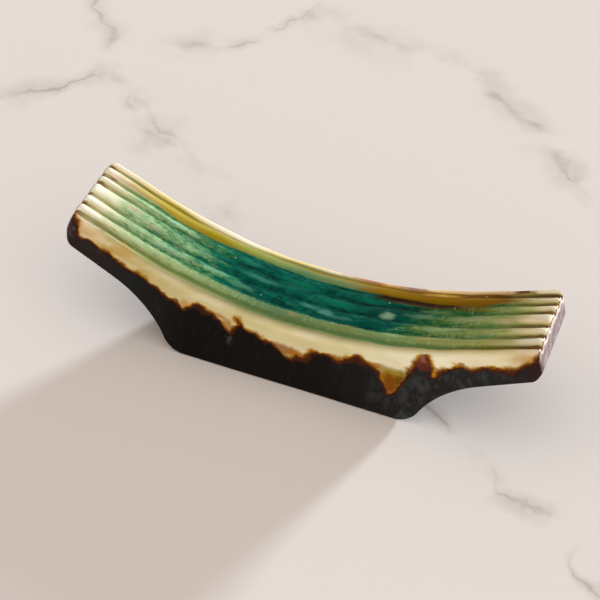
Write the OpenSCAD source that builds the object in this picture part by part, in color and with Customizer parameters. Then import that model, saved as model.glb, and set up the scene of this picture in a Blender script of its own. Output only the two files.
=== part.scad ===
// Hand-made chopstick rest: one fired clay body, bridge-shaped, under three glaze coats.
// X runs along the rest, Y across it with the front flank at -Y, and Z up from the table.
// The origin is on the table, under the middle of the rest.

/* [Overall size] */
// Length of the combed top, from tip to tip
top_length = 76.6; // [72:0.2:86]
// Width from flank to flank
body_width = 16.8; // [15.4:0.1:20]
// Height of the combed top above the table, at the middle
middle_height = 12.3; // [11:0.1:15]
// Radius of the long hollow in which the chopsticks lie
hollow_radius = 74; // [66:1:84]
// Slope of the top of each wing, in degrees
wing_slope = 22; // [18:1:24]

/* [Wing tips] */
// Thickness of a wing at its tip, square to its top
tip_thickness = 5.7; // [5.2:0.1:7]
// How far the end face leans out below the top, in degrees from upright
end_lean = 17; // [12:1:24]
// Radius of the upright edges between a wing's end and the flanks
end_edge_radius = 1.5; // [0.7:0.1:2]
// Radius of the tip's lower corner
tip_corner_radius = 2.2; // [1.5:0.1:3]
// Radius of the edge between the top and the end of a wing
tip_edge_radius = 0.9; // [0.7:0.05:1.5]

/* [Foot and undersides] */
// Length of the flat foot
foot_length = 41.4; // [34:0.2:46]
// Radius of the foot's rounded ends, from the table up into the arches
foot_end_radius = 4.6; // [0.8:0.1:5]
// Radius of the arch that runs from the foot out to each wing
arch_radius = 19.2; // [17:0.2:23]
// Slope of the underside of each wing, in degrees
under_slope = 26.8; // [25:0.2:28]
// Height of the bare clay that shows below the dark glaze
bare_foot_height = 0.6; // [0.3:0.1:1.5]

/* [Flank edges] */
// Radius of the shoulder between the top and the front flank
front_edge_radius = 1.5; // [0.8:0.1:2]
// Radius of the rim between the top and the back flank
back_edge_radius = 0.6; // [0.5:0.05:1.2]

/* [Comb grooves] */
// Radius of the comb tooth that drew a groove, as the glazed groove shows it
groove_radius = 0.6; // [0.5:0.05:0.8]
// Depth of a glazed groove below the ribs beside it
groove_depth = 0.38; // [0.2:0.02:0.45]
// Depth of a groove where the green glaze has pooled and filled it
pooled_groove_depth = 0.24; // [0.1:0.02:0.35]

/* [Glaze] */
// Thickness of every glaze coat on the flanks, ribs and undersides
glaze_thickness = 0.4; // [0.25:0.05:0.5]
// Pale ribs left at each tip beyond the copper green glass, seen from above
green_end_margin = 7.3; // [5:0.1:13]
// Pale strip left between the green glass and the front flank
green_front_margin = 1.2; // [0.9:0.1:3]
// Pale strip left between the green glass and the back flank
green_back_margin = 2.8; // [1:0.1:4]
// Radius of the rounded corners of the green glass, seen from above
green_corner_radius = 4; // [2:0.5:5]

/* [Hidden] */
$fn = 96;

// Where each comb groove lies, as a share of half the width, from the back rim to the front
groove_place_shares = [0.83, 0.535, 0.25, -0.13, -0.455, -0.78];

// Lower edge of the pale glaze on the front flank: share of the half length, then share of
// the middle height by which the edge lies below the combed top
front_drip_shares = [
    [-1.12, 0.08], [-0.99, 0.12], [-0.97, 0.27], [-0.88, 0.28], [-0.82, 0.23],
    [-0.77, 0.28], [-0.64, 0.28], [-0.54, 0.37], [-0.49, 0.39], [-0.46, 0.27],
    [-0.40, 0.20], [-0.34, 0.27], [-0.275, 0.46], [-0.26, 0.30], [-0.245, 0.17],
    [-0.21, 0.27], [-0.08, 0.33], [-0.04, 0.45], [0.04, 0.46], [0.08, 0.30],
    [0.15, 0.26], [0.19, 0.31], [0.26, 0.20], [0.36, 0.38], [0.41, 0.58],
    [0.445, 0.73], [0.465, 0.62], [0.50, 0.33], [0.53, 0.08], [0.57, 0.08],
    [0.60, 0.37], [0.64, 0.27], [0.71, 0.20], [0.75, 0.27], [0.83, 0.24],
    [0.94, 0.26], [0.98, 0.16], [1.00, 0.12], [1.12, 0.08]
];

// The same edge on the back flank, in the same shares
back_drip_shares = [
    [-1.12, 0.08], [-1.00, 0.12], [-0.96, 0.24], [-0.84, 0.27], [-0.72, 0.23],
    [-0.58, 0.33], [-0.50, 0.48], [-0.43, 0.30], [-0.30, 0.25], [-0.18, 0.38],
    [-0.12, 0.52], [-0.05, 0.33], [0.08, 0.27], [0.22, 0.36], [0.30, 0.44],
    [0.38, 0.29], [0.55, 0.25], [0.66, 0.34], [0.80, 0.24], [0.92, 0.27],
    [0.98, 0.18], [1.00, 0.12], [1.12, 0.08]
];

// Sizes that follow from the ones above
half_length = top_length / 2;
half_width = body_width / 2;
hollow_axis_height = middle_height + hollow_radius;
tangent_x = hollow_radius * sin(wing_slope);
wing_run = (half_length - tangent_x) / cos(wing_slope);
tip_height = land_height(half_length);
green_length = top_length - 2 * green_end_margin;
green_width = body_width - green_front_margin - green_back_margin;
green_y = (green_front_margin - green_back_margin) / 2;

// Directions in the long section of the right wing: out of its top, down its end face, out of
// its end face, along its underside and out of its underside
out_of_top = [-sin(wing_slope), cos(wing_slope)];
down_end = [sin(end_lean), -cos(end_lean)];
out_of_end = [cos(end_lean), sin(end_lean)];
along_under = [cos(under_slope), sin(under_slope)];
out_of_under = [sin(under_slope), -cos(under_slope)];

// Corners and arc centres of the right wing in the long section
top_corner = [half_length, tip_height];
lower_corner = top_corner + tip_thickness / cos(wing_slope - end_lean) * down_end;
foot_corner = [foot_length / 2, 0];
arch_reach = lower_corner + arch_radius * out_of_under - foot_corner;
arch_slide = -arch_reach * along_under
    + sqrt(pow(arch_reach * along_under, 2) - arch_reach * arch_reach + pow(arch_radius, 2));
arch_centre = foot_corner + arch_reach + arch_slide * along_under;
tip_corner_centre = rounding_centre(lower_corner, tip_corner_radius, out_of_end, out_of_under);
tip_edge_centre = rounding_centre(top_corner, tip_edge_radius, out_of_end, out_of_top);

// How far every cutting shape runs past what it cuts
overrun = tip_thickness;
past_middle = wing_slope / 4;
section_depth = middle_height + tip_height;

// Height of the ribs' crests above the table at a distance along the rest
function land_height(x) =
    abs(x) < tangent_x
        ? hollow_axis_height - sqrt(pow(hollow_radius, 2) - pow(x, 2))
        : hollow_axis_height - hollow_radius * cos(wing_slope)
            + (abs(x) - tangent_x) * tan(wing_slope);

// Centre of the arc that rounds a corner between two faces, given their outward directions
function rounding_centre(corner, radius, first, second) =
    corner - radius / (1 + first * second) * (first + second);

// A row of share pairs turned into points of the long section
function drip_points(shares) = [
    for (s = shares)
        [s.x * half_length, land_height(s.x * half_length) - s.y * middle_height]
];

// What lies outside a rounded corner: a quadrant between two square or nearly square directions
module corner_waste(centre, radius, first, second) {
    difference() {
        polygon([
            centre,
            centre + (radius + overrun) * first,
            centre + (radius + overrun) * (first + second),
            centre + (radius + overrun) * second
        ]);
        translate(centre) circle(r = radius);
    }
}

// Everything below one wing: the arch beside the foot and the space under the sloping underside
module undercut(inset) {
    tangent_point = arch_centre - (arch_radius + inset) * out_of_under;
    translate(arch_centre) circle(r = arch_radius + inset);
    polygon([
        tangent_point,
        tangent_point + section_depth * along_under,
        [arch_centre.x + section_depth, -section_depth],
        arch_centre
    ]);
}

// What lies outside the rounded end of the foot
module foot_end_waste(inset) {
    span = arch_radius + inset + foot_end_radius;
    centre_x = arch_centre.x - sqrt(pow(span, 2) - pow(arch_centre.y - foot_end_radius, 2));
    centre = [centre_x, foot_end_radius];
    corner_waste(centre, foot_end_radius, [0, -1], (arch_centre - centre) / span);
}

// Long section of the rest, drawn in from the glazed surface by an inset, and open at the top
module long_section(inset) {
    end_shift = inset / cos(end_lean);
    low_x = half_length + tip_height * tan(end_lean) - end_shift;
    high_x = half_length - overrun * tan(end_lean) - end_shift;
    difference() {
        polygon([
            [-low_x, 0],
            [low_x, 0],
            [high_x, tip_height + overrun],
            [-high_x, tip_height + overrun]
        ]);
        for (side = [0, 1]) mirror([side, 0]) {
            undercut(inset);
            foot_end_waste(inset);
            corner_waste(tip_corner_centre, tip_corner_radius - inset, out_of_end, out_of_under);
            corner_waste(tip_edge_centre, tip_edge_radius - inset, out_of_end, out_of_top);
        }
    }
}

// Cross section of the combed bar: its first axis runs from the hollow's axis down into the
// clay, and its second from the middle towards the front flank
module cross_section(inset, depth) {
    land = hollow_radius + inset;
    wall = half_width - inset;
    difference() {
        translate([land, -wall]) square([section_depth, 2 * wall]);
        corner_waste(
            [hollow_radius + front_edge_radius, half_width - front_edge_radius],
            front_edge_radius - inset, [-1, 0], [0, 1]
        );
        corner_waste(
            [hollow_radius + back_edge_radius, back_edge_radius - half_width],
            back_edge_radius - inset, [-1, 0], [0, -1]
        );
        for (place = groove_place_shares)
            translate([hollow_radius + depth - groove_radius, -place * half_width])
                circle(r = groove_radius + inset);
    }
}

// Carries a cross section from just past the middle, along the hollow, and straight out along
// the left wing
module swept_along_left() {
    translate([0, 0, hollow_axis_height])
        rotate([90, 0, 0])
            rotate([0, 0, -90 - wing_slope]) {
                rotate_extrude(angle = wing_slope + past_middle) children();
                rotate([90, 0, 0]) linear_extrude(wing_run + overrun) children();
            }
}

// What lies outside the two upright edges of the left wing's end
module end_edge_waste(inset) {
    edge_y = half_width - end_edge_radius;
    translate([-top_corner.x, 0, top_corner.y])
        rotate([0, end_lean, 0])
            linear_extrude(2 * section_depth, center = true)
                for (side = [-1, 1])
                    corner_waste(
                        [end_edge_radius, side * edge_y],
                        end_edge_radius - inset, [-1, 0], [0, side]
                    );
}

// The left half of the rest, drawn in from its glazed surface by an inset
module left_form(inset, depth) {
    difference() {
        intersection() {
            swept_along_left() cross_section(inset, depth);
            translate([-top_length, -body_width, -section_depth])
                cube([top_length, 2 * body_width, 3 * section_depth]);
            rotate([90, 0, 0])
                linear_extrude(body_width + overrun, center = true) long_section(inset);
        }
        end_edge_waste(inset);
    }
}

// The whole rest, both halves alike
module rest_form(inset, depth) {
    left_form(inset, depth);
    mirror([1, 0, 0]) left_form(inset, depth);
}

// Part of the space below or above the lower edges of the pale glaze on both flanks
module beside_drips(limit_height) {
    module half_space(shares) {
        line = drip_points(shares);
        polygon(concat(line, [[line[len(line) - 1].x, limit_height], [line[0].x, limit_height]]));
    }
    rotate([90, 0, 0]) linear_extrude(body_width) half_space(front_drip_shares);
    translate([0, body_width, 0])
        rotate([90, 0, 0]) linear_extrude(body_width) half_space(back_drip_shares);
}

// Upright prism over the part of the top that the green glass covers
module green_patch() {
    inner_length = green_length - 2 * green_corner_radius;
    inner_width = green_width - 2 * green_corner_radius;
    translate([0, green_y, bare_foot_height])
        linear_extrude(tip_height + overrun) {
            square([green_length, inner_width], center = true);
            square([inner_length, green_width], center = true);
            for (x = [-0.5, 0.5], y = [-0.5, 0.5])
                translate([x * inner_length, y * inner_width]) circle(r = green_corner_radius);
        }
}

// Biscuit-fired clay: combed top, wings, arches and the bare foot
module clay_body() {
    color("peru") rest_form(glaze_thickness, groove_depth);
}

// Pale ash glaze on the ribs, the rim and the upper flanks, open where the green glass lies
module cream_glaze() {
    color("wheat") difference() {
        intersection() {
            rest_form(0, groove_depth);
            beside_drips(tip_height + 2 * overrun);
        }
        rest_form(glaze_thickness, groove_depth);
        green_patch();
    }
}

// Copper green glass that has run into the hollow and half filled the grooves
module green_glaze() {
    color("seagreen") difference() {
        intersection() {
            rest_form(0, pooled_groove_depth);
            green_patch();
            beside_drips(tip_height + 2 * overrun);
        }
        rest_form(glaze_thickness, groove_depth);
    }
}

// Dark iron glaze on the flanks, ends and undersides, wiped clear of the foot
module iron_glaze() {
    color("darkslategray") difference() {
        intersection() {
            rest_form(0, groove_depth);
            beside_drips(bare_foot_height);
        }
        rest_form(glaze_thickness, groove_depth);
    }
}

clay_body();
cream_glaze();
green_glaze();
iron_glaze();
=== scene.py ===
import math

import bmesh
import bpy
import numpy as np
from mathutils import Matrix


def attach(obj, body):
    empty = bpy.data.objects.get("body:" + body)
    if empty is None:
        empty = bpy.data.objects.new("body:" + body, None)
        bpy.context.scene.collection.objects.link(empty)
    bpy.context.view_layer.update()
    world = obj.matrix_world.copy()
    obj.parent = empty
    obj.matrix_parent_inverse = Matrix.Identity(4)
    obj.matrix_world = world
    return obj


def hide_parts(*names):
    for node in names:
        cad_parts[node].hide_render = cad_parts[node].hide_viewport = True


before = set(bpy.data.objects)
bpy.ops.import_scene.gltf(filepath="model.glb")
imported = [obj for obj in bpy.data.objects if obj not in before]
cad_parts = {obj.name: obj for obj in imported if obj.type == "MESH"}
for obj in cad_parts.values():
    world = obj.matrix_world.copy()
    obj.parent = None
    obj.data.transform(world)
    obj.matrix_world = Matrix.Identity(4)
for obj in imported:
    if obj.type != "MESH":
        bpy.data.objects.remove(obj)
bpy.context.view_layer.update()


# Clay body
# A bar of iron-bearing stoneware, pressed, cut out under both wings and biscuit fired. All of
# it lies under the glaze coats but the foot, which was wiped clean so that it can't stick.

bare_clay = "#c79c7c"
toasted_clay = "#a8704a"
clay_speck = "#5a3a28"
speck_size_mm = 0.5
toast_size_mm = 6
grog_size_mm = 0.35
grog_relief_mm = 0.06
MM = 0.001


def fired(hex_colour):
    """A colour written as sRGB hex, as the linear colour that the shaders take"""
    parts = [int(hex_colour[i:i + 2], 16) / 255 for i in (1, 3, 5)]
    return tuple(p / 12.92 if p <= 0.04045 else ((p + 0.055) / 1.055) ** 2.4 for p in parts) + (1,)


def add(tree, kind, links=None, stops=None, **settings):
    """Adds a shader node with its settings, its values or links, and its colour or curve stops"""
    node = tree.nodes.new("ShaderNode" + kind)
    for name, value in settings.items():
        setattr(node, name, value)
    for name, value in (links or {}).items():
        into = node.inputs[name] if isinstance(name, int) else next(
            s for s in node.inputs if s.enabled and s.name == name)
        if isinstance(value, bpy.types.Node):
            value = next(s for s in value.outputs if s.enabled)
        if isinstance(value, bpy.types.NodeSocket):
            tree.links.new(value, into)
        else:
            into.default_value = value
    if kind == "ValToRGB":
        ramp = node.color_ramp.elements
        for place, colour in stops[2:]:
            ramp.new(place)
        for stop, (place, colour) in zip(ramp, stops):
            stop.position = place
            stop.color = fired(colour)
    if kind == "FloatCurve":
        curve = node.mapping.curves[0]
        curve.points[0].location = stops[0]
        curve.points[1].location = stops[-1]
        for stop in stops[1:-1]:
            curve.points.new(*stop)
        node.mapping.update()
    return node


def new_finish(name):
    """An empty material: its node tree, its surface shader, and the place on the rest in mm"""
    finish = bpy.data.materials.new(name)
    finish.use_nodes = True
    tree = finish.node_tree
    tree.nodes.clear()
    surface = add(tree, "BsdfPrincipled")
    add(tree, "OutputMaterial", {"Surface": surface})
    metres = add(tree, "TexCoord").outputs["Object"]
    place = add(tree, "VectorMath", {0: metres, "Scale": 1 / MM}, operation="SCALE")
    return finish, tree, surface, place


def join_finish(tree, surface, colour, rough, relief):
    """Joins a finish's colour, roughness and relief to its surface shader"""
    for name, value in (("Base Color", colour), ("Roughness", rough), ("Normal", relief)):
        tree.links.new(next(s for s in value.outputs if s.enabled), surface.inputs[name])


def biscuit_fired_clay():
    """Dry, warm buff stoneware: grains of grog, iron specks, and toasted where the flame met it"""
    finish, tree, surface, place = new_finish("biscuit_fired_clay")
    toast = add(tree, "TexNoise", {"Vector": place, "Scale": 1 / toast_size_mm, "Detail": 3})
    specks = add(tree, "TexNoise", {"Vector": place, "Scale": 1 / speck_size_mm, "Detail": 2})
    grog = add(tree, "TexNoise", {"Vector": place, "Scale": 1 / grog_size_mm, "Detail": 4})
    toasted = add(tree, "MapRange", {"Value": toast, "From Min": 0.35, "From Max": 0.7})
    speckled = add(tree, "MapRange", {"Value": specks, "From Min": 0.66, "From Max": 0.72})
    ground = add(tree, "Mix", {"Factor": toasted, "A": fired(bare_clay), "B": fired(toasted_clay)},
                 data_type="RGBA")
    colour = add(tree, "Mix", {"Factor": speckled, "A": ground, "B": fired(clay_speck)},
                 data_type="RGBA")
    rough = add(tree, "MapRange", {"Value": grog, "To Min": 0.75, "To Max": 0.95})
    relief = add(tree, "Bump", {"Height": grog, "Strength": 1, "Distance": grog_relief_mm * MM})
    join_finish(tree, surface, colour, rough, relief)
    return finish


clay_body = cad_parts["clay_body"]
clay_body.data.materials.clear()
clay_body.data.materials.append(biscuit_fired_clay())


# Glazed form
# The outer surface that all three coats share: the bar with its long hollow, its wings, its
# combed grooves and edges that the wet glaze has softened. The coats are cut from it below.

# Lengths are in mm
half_length = 38.3
half_width = 8.4
middle_height = 12.3
hollow_radius = 74
wing_slope = math.radians(22)
tip_thickness = 5.7
end_lean = math.radians(17)
half_foot = 20.7
arch_radius = 19.2
under_slope = math.radians(26.8)

# How far its edges are rounded
tip_edge_radius = 0.95
left_corner_radius, right_corner_radius = 2.4, 2.1
end_edge_radius = 1.5
foot_end_reach = 2.5
front_edge_radius = 1.5
back_edge_radius = 0.6
lower_edge_radius = 0.4

# The comb's grooves, which glass half fills in the hollow, and the waves that a hand leaves
groove_places = (6.85, 4.5, 2.1, -1.1, -3.8, -6.6)
furrow_reach = 1.05
shoulder_reach = 1.7
open_groove_depth = 0.52
pooled_groove_depth = 0.16
pool_end = 13
pool_clear = 37
groove_sway = 0.14
long_wave, short_wave = 0.05, 0.03
flank_wave, flank_inset = 0.05, 0.04

# The lattice of points that is pressed onto the form
cells_along, cells_across, cells_up = 352, 80, 46
end_crowding, edge_crowding = 0.05, 0.06
block_face = 0.4999
settling_steps, resettling_steps = 14, 2

hollow_axis = middle_height + hollow_radius
tangent_x = hollow_radius * math.sin(wing_slope)
tip_height = hollow_axis - hollow_radius * math.cos(wing_slope) + (
    half_length - tangent_x) * math.tan(wing_slope)
out_of_end = np.array([math.cos(end_lean), math.sin(end_lean)])
along_under = np.array([math.cos(under_slope), math.sin(under_slope)])
out_of_under = np.array([math.sin(under_slope), -math.cos(under_slope)])
lower_corner = np.array([half_length, tip_height]) + tip_thickness / math.cos(
    wing_slope - end_lean) * np.array([math.sin(end_lean), -math.cos(end_lean)])
arch_reach = lower_corner + arch_radius * out_of_under - np.array([half_foot, 0])
arch_slide = -arch_reach @ along_under + math.sqrt(
    (arch_reach @ along_under) ** 2 - arch_reach @ arch_reach + arch_radius ** 2)
arch_centre = np.array([half_foot, 0]) + arch_reach + arch_slide * along_under


def eased(value, low, high):
    """0 below a low value, 1 above a high one, and a soft rise between them"""
    share = np.clip((value - low) / (high - low), 0, 1)
    return share * share * (3 - 2 * share)


def rounded(first, second, radius):
    """Distance out of two faces at once, with the edge between them rounded"""
    inside = np.minimum(np.maximum(first, second), -radius)
    return inside + np.hypot(np.maximum(first + radius, 0), np.maximum(second + radius, 0))


def groove_share(x, y):
    """How deep a point of the top lies in its nearest comb groove: 0 on a rib, 1 at the bottom"""
    share = np.zeros_like(x)
    for number, groove_y in enumerate(groove_places):
        sway = groove_sway * np.sin(x / (8 + number) + 2.3 * number)
        off = np.abs(y - groove_y - sway)
        furrow = 0.5 + 0.5 * np.cos(math.pi * np.clip(off / furrow_reach, 0, 1))
        shoulder = (1 - np.clip(off / shoulder_reach, 0, 1)) ** 2
        share = np.maximum(share, 0.6 * furrow + 0.4 * shoulder)
    return share


def out_of_top(x, y, z):
    """Distance out of the combed top, with its grooves and its slightly crowned ribs"""
    turn = np.arctan2(np.abs(x), hollow_axis - z)
    hollow = hollow_radius - np.hypot(x, hollow_axis - z)
    wing = (z - tip_height) * math.cos(wing_slope) - (
        np.abs(x) - half_length) * math.sin(wing_slope)
    depth = pooled_groove_depth + (open_groove_depth - pooled_groove_depth) * eased(
        np.abs(x), pool_end, pool_clear)
    uneven = long_wave * np.sin(x * 0.31 + y * 0.5) + short_wave * np.sin(x * 0.83 - y * 0.9 + 1)
    return np.where(turn < wing_slope, hollow, wing) + depth * groove_share(x, y) + uneven


def out_of_underside(x, z):
    """Distance out of the arch and of the wing's sloping underside"""
    across = np.abs(x) - arch_centre[0]
    up = z - arch_centre[1]
    arch = arch_radius - np.hypot(across, up)
    slope = (np.abs(x) - lower_corner[0]) * out_of_under[0] + (
        z - lower_corner[1]) * out_of_under[1]
    return np.where(across * along_under[0] + up * along_under[1] > 0, slope, arch)


def out_of_tip(x, z):
    """Distance out of the leaning end face"""
    return (np.abs(x) - half_length) * out_of_end[0] + (z - tip_height) * out_of_end[1]


def out_of_form(x, y, z):
    """Distance out of the whole glazed form, all edges rounded"""
    wavy = flank_wave * np.sin(x * 0.27 + 0.6) * np.sin(z * 0.33 + 0.4)
    tip = out_of_tip(x, z)
    flank = np.abs(y) - half_width + flank_inset + wavy
    below = rounded(out_of_underside(x, z), -z, foot_end_reach)
    corner_radius = np.where(x < 0, left_corner_radius, right_corner_radius)
    ends = rounded(tip, below, corner_radius)
    side_radius = lower_edge_radius + (end_edge_radius - lower_edge_radius) * eased(
        tip - below, -1.5, 1.5)
    at_tip = eased(tip - flank, -1, 1)
    upper_radius = np.where(y < 0, front_edge_radius, back_edge_radius)
    upper_radius = upper_radius + (tip_edge_radius - upper_radius) * at_tip
    return rounded(out_of_top(x, y, z), rounded(ends, flank, side_radius), upper_radius)


def along_line(x, z, share):
    """Points at equal steps along a line of the long section, by share of its length"""
    run = np.concatenate([[0], np.cumsum(np.hypot(np.diff(x), np.diff(z)))])
    return np.interp(share * run[-1], run, x), np.interp(share * run[-1], run, z)


def lower_line():
    """The sharp-edged lower line of the right half, from the middle of the foot to the tip"""
    angles = np.linspace(math.atan2(-arch_centre[1], half_foot - arch_centre[0]),
                         math.pi / 2 + under_slope, 60)
    x = np.concatenate([[0], arch_centre[0] + arch_radius * np.cos(angles), [lower_corner[0]]])
    z = np.concatenate([[0], arch_centre[1] + arch_radius * np.sin(angles), [lower_corner[1]]])
    return x, z


def upper_line():
    """The sharp-edged upper line of the right half, from the middle of the hollow to the tip"""
    angles = np.linspace(0, wing_slope, 60)
    x = np.concatenate([hollow_radius * np.sin(angles), [half_length]])
    z = np.concatenate([hollow_axis - hollow_radius * np.cos(angles), [tip_height]])
    return x, z


def block_of_clay():
    """A block with an even lattice of points on its six faces"""
    block = bmesh.new()
    bmesh.ops.create_cube(block, size=1)
    for axis, cells in ((0, cells_along), (2, cells_up), (1, cells_across)):
        runs = [e for e in block.edges
                if abs(e.verts[0].co[axis] - e.verts[1].co[axis]) > 0.5]
        bmesh.ops.subdivide_edges(block, edges=runs, cuts=cells - 1, use_grid_fill=True)
    return block


def pressed(place):
    """Moves the block's points onto the glazed form, in mm"""
    along = place[:, 0] + end_crowding * np.sin(2 * math.pi * place[:, 0]) / 2
    up = place[:, 2] + 0.5
    up = up - edge_crowding * np.sin(2 * math.pi * up)
    side = np.sign(along)
    top_x, top_z = along_line(*upper_line(), np.abs(2 * along))
    foot_x, foot_z = along_line(*lower_line(), np.abs(2 * along))
    x = side * (foot_x + (top_x - foot_x) * up)
    z = foot_z + (top_z - foot_z) * up
    y = 2 * half_width * place[:, 1]
    return onto_form(np.stack([x, y, z], 1), settling_steps)


def onto_form(points, steps):
    """Lets points settle on the glazed form, straight along its slope"""
    nudge = 0.002
    for _ in range(steps):
        x, y, z = points.T
        out = out_of_form(x, y, z)
        slope = np.stack([
            out_of_form(x + nudge, y, z) - out_of_form(x - nudge, y, z),
            out_of_form(x, y + nudge, z) - out_of_form(x, y - nudge, z),
            out_of_form(x, y, z + nudge) - out_of_form(x, y, z - nudge)], 1) / (2 * nudge)
        steepness = np.maximum((slope ** 2).sum(1), 0.2)
        points = points - (out / steepness)[:, None] * slope
    return points


# Lower edge of the pale glaze on the front flank: place along the rest and height, in mm
front_drips = (
    (-60, 22.5), (-38.2, 22.5), (-37.2, 21.4), (-37.1, 19.5), (-36.9, 18.6), (-36, 17.9),
    (-35.2, 18.1), (-34.5, 17.8), (-33.5, 17.1), (-32.2, 16.6), (-31.3, 16.5), (-30.8, 16),
    (-30, 15.6), (-28, 14.6), (-27.2, 14.4), (-26.6, 14.5), (-26, 14.1), (-25, 13.3), (-23, 12.3),
    (-21, 11.3), (-20, 11), (-19.3, 10.6), (-18.6, 9.6), (-18.2, 10.4), (-17.5, 10.8), (-16, 11.5),
    (-15, 11.2), (-13.3, 10.5), (-11.8, 9.2), (-10.7, 7.9), (-10.4, 7.6), (-10.1, 8.3), (-9.8, 9.2),
    (-9.3, 9.5), (-8.9, 9.9), (-9.5, 10.5), (-9.6, 11), (-9.2, 10.9), (-8.6, 10.2), (-8.2, 9.5),
    (-7.6, 9.2), (-6.2, 9), (-5.4, 8.6), (-3.8, 8.4), (-3.2, 8.3), (-2.4, 7.7), (-1.7, 7.1),
    (-0.6, 6.4), (0.3, 6.4), (0.9, 7.2), (1.5, 6.9), (2, 7), (2.8, 8.4), (3.4, 8.9), (4.2, 9.1),
    (6, 9.3), (7.2, 8.6), (7.9, 8.7), (9.2, 9.9), (10.8, 10.8), (12, 10.2), (14, 9.5), (14.8, 8.3),
    (15.4, 6.9), (16, 5.9), (16.6, 4.9), (17.4, 5.6), (18.1, 7.4), (18.6, 9.4), (19.5, 10.8),
    (19.8, 11.6), (20.1, 13.4), (20.5, 14.3), (21, 14.9), (21.8, 14.9), (22.3, 14.2), (22.5, 13.1),
    (22.95, 11.1), (23.3, 11.4), (24.6, 13.2), (26.2, 14.3), (27.4, 15), (27.9, 14.6), (28.8, 14.6),
    (30.4, 15.9), (32, 16.3), (34, 16.9), (35, 17.2), (35.8, 17.8), (36.4, 18.5), (37.6, 19.8),
    (38.2, 20.8), (38.8, 21.8), (60, 22.5),
)
# The same edge on the back flank
back_drips = (
    (-60, 22.5), (-38.2, 22), (-37.6, 20.4), (-36.8, 18.9), (-35, 18.2), (-33.2, 17.6), (-31, 17),
    (-28.8, 15.6), (-26.9, 14.2), (-25.2, 13.9), (-23.4, 12.6), (-21.6, 11.2), (-20.1, 9.6),
    (-19.2, 7.6), (-18.6, 7.2), (-18, 8.8), (-17, 10.4), (-15.2, 10.9), (-12.8, 10.2), (-10.6, 9.8),
    (-8.4, 8.9), (-6.8, 7.9), (-5.4, 6.2), (-4.6, 5), (-4, 5.1), (-3.4, 6.9), (-2.2, 8.4),
    (-0.2, 9.1), (2.4, 9.3), (4.8, 9), (6.9, 8.3), (8.6, 8.4), (10.2, 7.7), (11.4, 6.9),
    (12.2, 7.4), (13.4, 9.3), (15, 10.4), (17.4, 11), (19.8, 11.3), (21.6, 12.4), (23.6, 12.9),
    (25.2, 12.3), (26, 11.8), (26.9, 13.2), (28.6, 15.3), (30.8, 16.2), (33, 17), (35.2, 17.4),
    (36.6, 18.6), (37.8, 20.6), (38.6, 22), (60, 22.5),
)
tip_seam = 0.05
tip_seam_pull = 3
coarse_ripple, fine_ripple = 0.07, 0.05


def above_line(along, height, line):
    """Distance from a drawn line, positive on its upper side"""
    nearest = np.full_like(along, 1e9)
    crossed = np.zeros(len(along), int)
    for (x0, z0), (x1, z1) in zip(line, line[1:]):
        run, rise = x1 - x0, z1 - z0
        share = np.clip(((along - x0) * run + (height - z0) * rise) / (run ** 2 + rise ** 2), 0, 1)
        gap = np.hypot(along - x0 - share * run, height - z0 - share * rise)
        nearest = np.minimum(nearest, gap)
        over = (along >= min(x0, x1)) & (along < max(x0, x1))
        crossed += over & (height > z0 + (along - x0) * rise / (run or 1))
    return np.where(crossed % 2 == 1, nearest, -nearest)


def above_iron(points, place):
    """Distance above the edge where the pale glaze ends and the iron glaze begins"""
    x, y, z = points.T
    front = above_line(x, z + (y + half_width), front_drips)
    back = above_line(x, z + (half_width - y), back_drips)
    ripple = coarse_ripple * np.sin(y * 1.9 + x) + fine_ripple * np.sin(y * 4.3 + 2)
    below_top = np.maximum(-out_of_top(x, y, z) - 0.3, 0)
    tip = tip_seam_pull * (-out_of_tip(x, z) - tip_seam) + ripple - 0.7 * below_top
    height = np.minimum(np.minimum(front, back), tip)
    return np.where(place[:, 2] < -block_face, np.minimum(height, -2), height)


# The patch of copper green glass, seen from above
green_half_length = 31
green_half_width = 6.4
green_offset = 0.8
green_corner_radius = 4


def inside_green(points):
    """Distance inside the rounded outline of the green glass"""
    over_x = np.abs(points[:, 0]) - green_half_length + green_corner_radius
    over_y = np.abs(points[:, 1] + green_offset) - green_half_width + green_corner_radius
    outside = np.hypot(np.maximum(over_x, 0), np.maximum(over_y, 0))
    return green_corner_radius - outside - np.minimum(np.maximum(over_x, over_y), 0)


def draw_seam(points, edges, field, fixed):
    """Pulls the nearest points onto the line where a field is zero"""
    a, b = edges[field[edges[:, 0]] * field[edges[:, 1]] < 0].T
    share = field[a] / (field[a] - field[b])
    mover = np.where(share < 0.5, a, b)
    target = points[a] + share[:, None] * (points[b] - points[a])
    travel = np.linalg.norm(target - points[mover], axis=1)
    order = [i for i in np.argsort(-travel) if not fixed[mover[i]]]
    points[mover[order]] = target[order]
    field[mover[order]] = 0
    return points, field


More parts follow.
